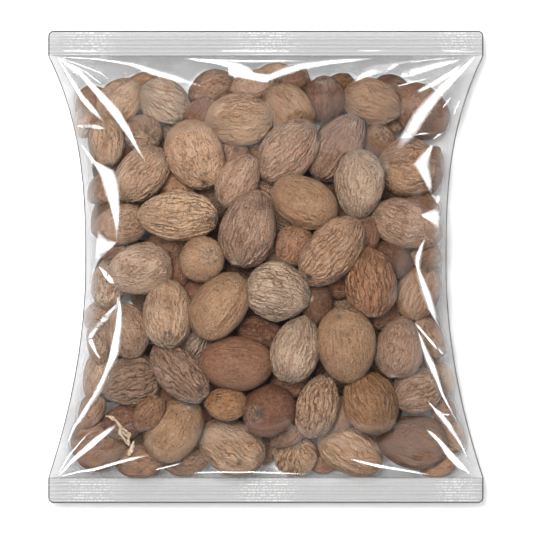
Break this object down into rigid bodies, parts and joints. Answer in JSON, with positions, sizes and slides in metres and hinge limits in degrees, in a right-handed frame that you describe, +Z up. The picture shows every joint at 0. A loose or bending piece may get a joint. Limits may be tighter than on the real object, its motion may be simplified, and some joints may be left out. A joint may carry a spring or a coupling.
{
  "type": "bag of whole nutmeg",
  "caption": "Clear heat-sealed pillow bag packed full of whole shelled nutmegs, crimped straight across its top and bottom, lying on its back.",
  "frame": {"origin": "on the table, under the middle of the bag", "axes": "+X across the bag, +Y from its bottom seal to its top seal, +Z up, out of its front"},
  "size_m": [0.1494, 0.1622, 0.0482],
  "materials": {
    "film_over_nutmegs": "gloss",
    "clear_film": "gloss",
    "nutmeg_shell": "matte"
  },
  "bodies": {
    "root": {"nutmeg_bag": "film_over_nutmegs"}
  },
  "joints": []
}
